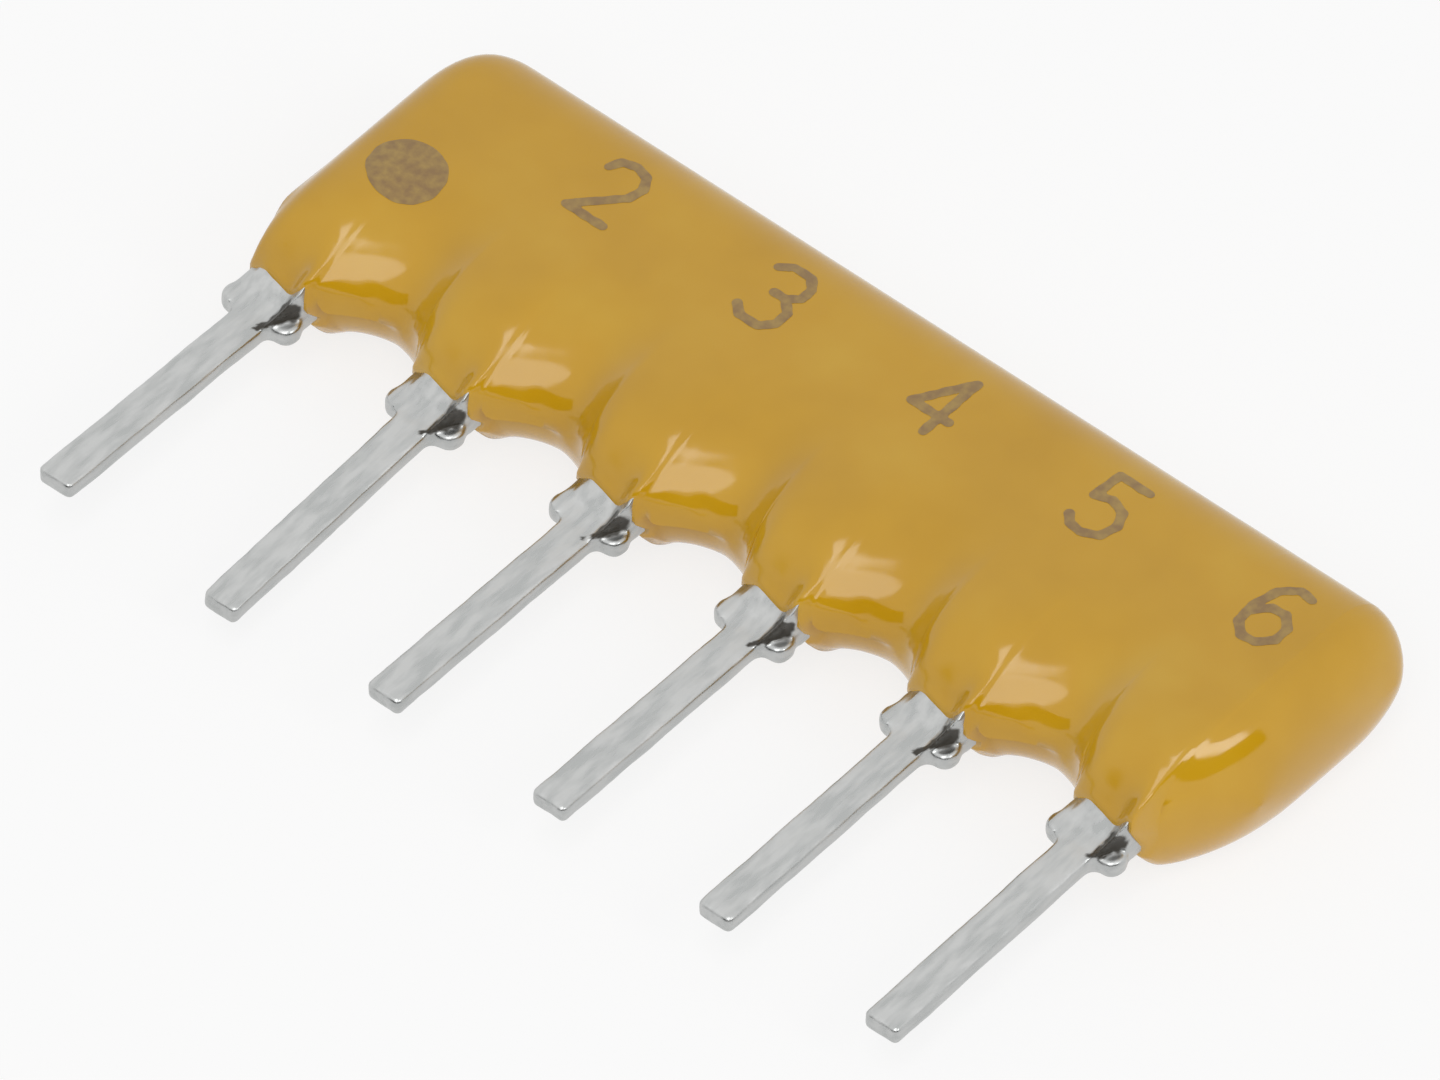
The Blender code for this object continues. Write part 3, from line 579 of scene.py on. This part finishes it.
coatPiece = buildCoat()
print("dipped coat built")

# The dipped lead's skin, in mm: one voxel surface over lead and solder, softened and then swelled a little
dip = {
    "weld": 1e-4,
    "voxel": 0.024,
    "softenShare": 0.5,
    "softenPasses": 8,
    "unevenMm": 0.008,
    "sunk": 0.38,  # keeps the swells inside the solids
    "swellPerMm": (3.5, 2.2, 3.5),
    "fineSwell": (0.5, 2.7),  # height and pace beside the broad swells
    "pocket": ((0.19, -0.10, 0.16), (0.38, 0.24, 0.26)),  # the painted shade's two ends, from the lead's own place
    "pocketReach": (0.05, 0.17),
    "pocketCore": 0.75,
    "pocketRagged": (0.04, 14),  # width and pace of its ragged edge
}


def paintPocketShade(skin, number):  # paints shade into the pocket under a solder joint, as a mask from 0 to 1
    lead = Vector((leadXs[number - 1], 0.0, 0.0))
    start, end = (Vector(place) + rowShift + lead for place in dip["pocket"])
    ragged, pace = dip["pocketRagged"]
    residue = skin.attributes.new("residue", "FLOAT", "POINT")
    for index, vert in enumerate(skin.vertices):
        share = between((vert.co - start).dot(end - start) / (end - start).length_squared, 0.0, 1.0)
        reach = mix(*dip["pocketReach"], share)
        away = (vert.co - start.lerp(end, share)).length + ragged * noise.noise(vert.co * pace)
        residue.data[index].value = 1 - eased(between(away, dip["pocketCore"] * reach, reach))


def swell(skin):  # the solder's unevenness, and the change from mm to metres
    paceX, paceY, paceZ = dip["swellPerMm"]
    fineHeight, finePace = dip["fineSwell"]
    normals = [vert.normal.copy() for vert in skin.vertices]
    for vert, normal in zip(skin.vertices, normals):
        place = Vector((vert.co.x * paceX, vert.co.y * paceY, vert.co.z * paceZ))
        height = noise.noise(place) + fineHeight * noise.noise(place * finePace)
        vert.co = (vert.co + normal * (height - dip["sunk"]) * dip["unevenMm"]) * mm


def buildLead(number):  # the lead and its solder as one dipped surface, a little uneven
    verts, faces = [], []
    for name in (f"lead_{number}", f"solder_{number}"):
        mesh = nodes[name].data
        base = len(verts)
        verts += [vert.co / mm for vert in mesh.vertices]
        faces += [[base + index for index in face.vertices] for face in mesh.polygons]
    mesh = bpy.data.meshes.new("leadBlank")
    mesh.from_pydata(verts, [], faces)
    shape = bmesh.new()
    shape.from_mesh(mesh)
    bmesh.ops.remove_doubles(shape, verts=shape.verts, dist=dip["weld"])
    shape.to_mesh(mesh)
    shape.free()
    blank = bpy.data.objects.new("leadBlank", mesh)
    bpy.context.scene.collection.objects.link(blank)
    remesh = blank.modifiers.new("skin", "REMESH")
    remesh.mode = "VOXEL"
    remesh.voxel_size = dip["voxel"]
    soften = blank.modifiers.new("soften", "SMOOTH")
    soften.factor = dip["softenShare"]
    soften.iterations = dip["softenPasses"]
    graph = bpy.context.evaluated_depsgraph_get()
    skin = bpy.data.meshes.new_from_object(blank.evaluated_get(graph))
    bpy.data.objects.remove(blank)
    skin.name = f"tinnedLead_{number}"
    # painted shade in the pocket under the solder joint
    paintPocketShade(skin, number)
    swell(skin)
    skin.materials.clear()
    skin.materials.append(tin)
    skin.shade_smooth()
    item = bpy.data.objects.new(skin.name, skin)
    bpy.context.scene.collection.objects.link(item)
    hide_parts(f"lead_{number}", f"solder_{number}")
    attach(item, "root")
    print(skin.name, len(skin.polygons), "faces")


for number in range(1, leadCount + 1):
    buildLead(number)
print("tinned leads built")

# Ink on the marked face, in mm: a dot for lead 1, and plain lead numbers in place of any other marking
marks = {
    "dotAt": (-5.85, 2.21),
    "dotSize": (1.02, 0.92),
    "dotMargin": 0.6,
    "dotRagged": (0.015, 7, 0.3),  # depth, pace and slice of the noise
    "digitSize": (0.56, 0.98),
    "digitY": 3.02,
    "stroke": 0.135,
    "strokeRagged": (0.12, 9, 0.7),
    "pinch": (0.21, 0.10),  # spacing and depth
    "grid": 0.03,
    "above": 3.0,
    "lift": 0.004,
}
digitStrokes = {  # pen lines in a box that is 1 wide and 1 high
    2: [[(0.0, 0.78), (0.12, 0.94), (0.45, 1.0), (0.80, 0.94), (0.98, 0.76), (0.90, 0.55), (0.0, 0.0),
         (1.0, 0.0)]],
    3: [[(0.0, 0.88), (0.25, 1.0), (0.72, 1.0), (0.95, 0.85), (0.95, 0.66), (0.70, 0.54), (0.40, 0.54)],
        [(0.70, 0.54), (1.0, 0.38), (1.0, 0.16), (0.75, 0.0), (0.25, 0.0), (0.0, 0.12)]],
    4: [[(0.75, 0.0), (0.75, 1.0), (0.0, 0.30), (1.0, 0.30)]],
    5: [[(0.92, 1.0), (0.12, 1.0), (0.06, 0.56), (0.45, 0.64), (0.85, 0.55), (1.0, 0.34), (0.88, 0.10),
         (0.5, 0.0), (0.18, 0.03), (0.0, 0.14)]],
    6: [[(0.85, 0.96), (0.5, 1.0), (0.15, 0.80), (0.0, 0.45), (0.06, 0.15), (0.35, 0.0), (0.7, 0.02),
         (0.98, 0.20), (0.98, 0.42), (0.70, 0.58), (0.35, 0.56), (0.04, 0.36)]],
}


def onSkin(x, y):  # a place just above the coat's marked face
    _, place, normal, _ = coatPiece.ray_cast(fromRow(x, y, marks["above"]), Vector((0, 0, -1)))
    return place + normal * marks["lift"] * mm


def dotReach(x, y):  # distance to the dot's ragged outline, below 0 inside it
    (cx, cy), (wide, tall) = marks["dotAt"], marks["dotSize"]
    ragged, pace, layer = marks["dotRagged"]
    edge = ragged * noise.noise(Vector((x * pace, y * pace, layer)))
    return (math.hypot((x - cx) / wide, (y - cy) / tall) - 0.5) * min(wide, tall) + edge


def strokeReach(x, y, strokes):  # distance to a pen line that narrows a little at even steps
    away, along = math.inf, 0.0
    for points in strokes:
        done = 0.0
        for (x0, y0), (x1, y1) in zip(points, points[1:]):
            run, rise = x1 - x0, y1 - y0
            length = math.hypot(run, rise)
            share = between((x - x0) * run + (y - y0) * rise, 0.0, length * length)
            gap = math.hypot(x - mix(x0, x1, share), y - mix(y0, y1, share))
            if gap < away:
                away, along = gap, done + share * length
            done += length
    spacing, depth = marks["pinch"]
    ragged, pace, layer = marks["strokeRagged"]
    pinch = depth * (1 + math.cos(2 * math.pi * along / spacing)) / 2
    edge = ragged * noise.noise(Vector((x * pace, y * pace, layer)))
    return away - marks["stroke"] / 2 * (1 - pinch + edge)


def inkPatch(verts, faces, reach, low, high):  # what lies below 0, cut out of a fine grid
    step = marks["grid"]
    columns, rows = (math.ceil((b - a) / step) for a, b in zip(low, high))
    grid = [[(low[0] + step * i, low[1] + step * j) for j in range(rows + 1)] for i in range(columns + 1)]
    levels = [[reach(x, y) for x, y in column] for column in grid]
    known = {}

    def corner(x, y):  # neighbouring cells share a corner
        key = (round(x, 5), round(y, 5))
        if key not in known:
            known[key] = len(verts)
            verts.append(onSkin(x, y))
        return known[key]

    for i in range(columns):
        for j in range(rows):
            outline = []
            cell = [(i, j), (i + 1, j), (i + 1, j + 1), (i, j + 1)]
            for (i0, j0), (i1, j1) in zip(cell, cell[1:] + cell[:1]):
                (x0, y0), (x1, y1) = grid[i0][j0], grid[i1][j1]
                here, after = levels[i0][j0], levels[i1][j1]
                if here < 0:
                    outline.append(corner(x0, y0))
                if (here < 0) != (after < 0):
                    share = here / (here - after)
                    outline.append(corner(mix(x0, x1, share), mix(y0, y1, share)))
            if len(set(outline)) > 2:
                faces.append(list(dict.fromkeys(outline)))


def buildMarks():
    verts, faces = [], []
    (cx, cy), (wide, tall), margin = marks["dotAt"], marks["dotSize"], marks["dotMargin"]
    inkPatch(verts, faces, dotReach, (cx - wide * margin, cy - tall * margin),
             (cx + wide * margin, cy + tall * margin))
    width, height = marks["digitSize"]
    edge = marks["stroke"]
    for number, strokes in digitStrokes.items():
        left, foot = leadXs[number - 1] - width / 2, marks["digitY"]
        lines = [[(left + px * width, foot + py * height) for px, py in points] for points in strokes]
        inkPatch(verts, faces, lambda x, y: strokeReach(x, y, lines),
                 (left - edge, foot - edge), (left + width + edge, foot + height + edge))
    item = meshObject("inkMarks", verts, faces, ink)
    shadeSmooth(item.data)
    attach(item, "root")


buildMarks()
print("ink marks built")

# Studio: white paper under the part, a pale room, three soft boxes, black velvet and a long lens.
# Distances and sizes are in metres where the name doesn't say mm or px
studio = {
    "azimuthDeg": 41.01,
    "elevationDeg": 47.85,
    "rollDeg": 0.1,
    "distance": 0.5,
    "targetMm": (-0.295, 0.325, 0.95),
    "pxPerMm": 86.0,
    "targetPx": (717.5, 535.9),
    "imagePx": (1440, 1080),
    "sensorMm": 36,
    "nearest": 0.01,
    "fill": 0.50,  # the room's light on matt surfaces
    "paperHalf": 1.5,
    "paperGlow": 0.80,  # how much of the paper's seen colour is plain white, over its own shadow
    "paperRoughness": 0.9,
}
softBoxes = {  # azimuth and elevation in degrees, distance, width and height, radiance
    "softBoxFront": ((32, 53), 0.6, (0.28, 0.42), 2.3),
    "softBoxAbove": ((50, 77), 0.6, (0.12, 0.12), 3.2),
    "softBoxRight": ((93, 38), 0.6, (0.14, 0.22), 4.2),
}
velvet = {
    "azimuths": (-25, 108),
    "elevations": (3, 28),
    "distance": 0.9,
    "steps": 24,
    "dark": "#101010",
    "light": "#1C1C1C",
    "weave": 400.0,  # specks across the cloth, which are too small to show in a reflection
}


def clearRays(tree):  # 1 for what is seen directly, in a reflection or through glass
    path = addNode(tree, "ShaderNodeLightPath")
    seen = addNode(tree, "ShaderNodeMath", {"operation": "MAXIMUM"},
                   {0: path.outputs["Is Camera Ray"], 1: path.outputs["Is Glossy Ray"]})
    clear = addNode(tree, "ShaderNodeMath", {"operation": "MAXIMUM"},
                    {0: seen.outputs[0], 1: path.outputs["Is Transmission Ray"]})
    return clear.outputs[0]


# Matt white paper: uncoated, so the eye gets an even white with a soft shadow and no gloss
def buildFloor():
    material, tree, shader = newMaterial("matWhitePaper")
    shader.inputs["Base Color"].default_value = linear("#FFFFFF")
    shader.inputs["Roughness"].default_value = studio["paperRoughness"]
    share = addNode(tree, "ShaderNodeMath", {"operation": "MULTIPLY", 1: studio["paperGlow"]},
                    {0: clearRays(tree)})
    white = addNode(tree, "ShaderNodeEmission", {"Strength": 1.0})
    both = addNode(tree, "ShaderNodeMixShader",
                   links={0: share.outputs[0], 1: shader.outputs[0], 2: white.outputs[0]})
    tree.links.new(both.outputs[0], tree.nodes["Material Output"].inputs["Surface"])
    half = studio["paperHalf"]
    corners = [(-half, -half, 0), (half, -half, 0), (half, half, 0), (-half, half, 0)]
    meshObject("paperFloor", corners, [(0, 1, 2, 3)], material)


def buildWorld():
    world = bpy.data.worlds.new("studioRoom")
    bpy.context.scene.world = world
    world.use_nodes = True
    tree = world.node_tree
    back = tree.nodes["Background"]
    level = addNode(tree, "ShaderNodeMapRange", {"To Min": studio["fill"], "To Max": 1.0},
                    {"Value": clearRays(tree)})
    back.inputs["Color"].default_value = (1, 1, 1, 1)
    tree.links.new(level.outputs["Result"], back.inputs["Strength"])


def toward(azimuthDeg, elevationDeg):  # azimuth 0 is in front of the lead tips, 90 beyond lead 6
    azimuth, elevation = math.radians(azimuthDeg), math.radians(elevationDeg)
    return Vector((math.sin(azimuth) * math.cos(elevation), -math.cos(azimuth) * math.cos(elevation),
                   math.sin(elevation)))


def addLamp(name, angles, distance, size, radiance):  # a soft box that looks at the part
    wide, tall = size
    data = bpy.data.lights.new(name, "AREA")
    data.shape = "RECTANGLE"
    data.size, data.size_y = wide, tall
    data.energy = radiance * math.pi * wide * tall
    lamp = bpy.data.objects.new(name, data)
    bpy.context.scene.collection.objects.link(lamp)
    away = toward(*angles)
    lamp.location = away * distance
    lamp.rotation_euler = away.to_track_quat("Z", "Y").to_euler()


# Black velvet: piled cloth that swallows light. It is the dim side of the room, which only reflections see
def buildDarkSide():
    material, tree, shader = newMaterial("blackVelvet")
    weave = addNode(tree, "ShaderNodeTexNoise", {"Scale": velvet["weave"]})
    stops = [(at, linear(velvet[name])) for at, name in zip(noiseSpan, ("dark", "light"))]
    color = addNode(tree, "ShaderNodeValToRGB", {"stops": stops}, {"Fac": weave.outputs["Fac"]})
    tree.links.new(color.outputs["Color"], shader.inputs["Base Color"])
    shader.inputs["Roughness"].default_value = 1.0
    steps = velvet["steps"]
    turns = [mix(*velvet["azimuths"], step / steps) for step in range(steps + 1)]
    verts = [toward(turn, height) * velvet["distance"] for turn in turns for height in velvet["elevations"]]
    faces = [(2 * step, 2 * step + 1, 2 * step + 3, 2 * step + 2) for step in range(steps)]
    side = meshObject("dimRoom", verts, faces, material)
    side.visible_camera = side.visible_diffuse = side.visible_shadow = side.visible_transmission = False


def buildCamera():
    azimuth, roll = math.radians(studio["azimuthDeg"]), math.radians(studio["rollDeg"])
    back = toward(studio["azimuthDeg"], studio["elevationDeg"])
    right = Vector((math.cos(azimuth), math.sin(azimuth), 0))
    down = -back.cross(right)
    across = right * math.cos(roll) + down * math.sin(roll)
    below = -right * math.sin(roll) + down * math.cos(roll)
    data = bpy.data.cameras.new("longLens")
    camera = bpy.data.objects.new("longLens", data)
    bpy.context.scene.collection.objects.link(camera)
    matrix = Matrix((across, -below, back)).transposed().to_4x4()
    matrix.translation = Vector(studio["targetMm"]) * mm + back * studio["distance"]
    camera.matrix_world = matrix
    width, height = studio["imagePx"]
    data.sensor_width = studio["sensorMm"]
    data.lens = studio["pxPerMm"] * studio["distance"] / mm / width * studio["sensorMm"]
    data.clip_start = studio["nearest"]
    data.shift_x = -(studio["targetPx"][0] - width / 2) / width
    data.shift_y = (studio["targetPx"][1] - height / 2) / width
    bpy.context.scene.camera = camera


buildFloor()
buildWorld()
for name, box in softBoxes.items():
    addLamp(name, *box)
buildDarkSide()
buildCamera()
bpy.context.scene.view_settings.view_transform = "Standard"
print("studio ready")
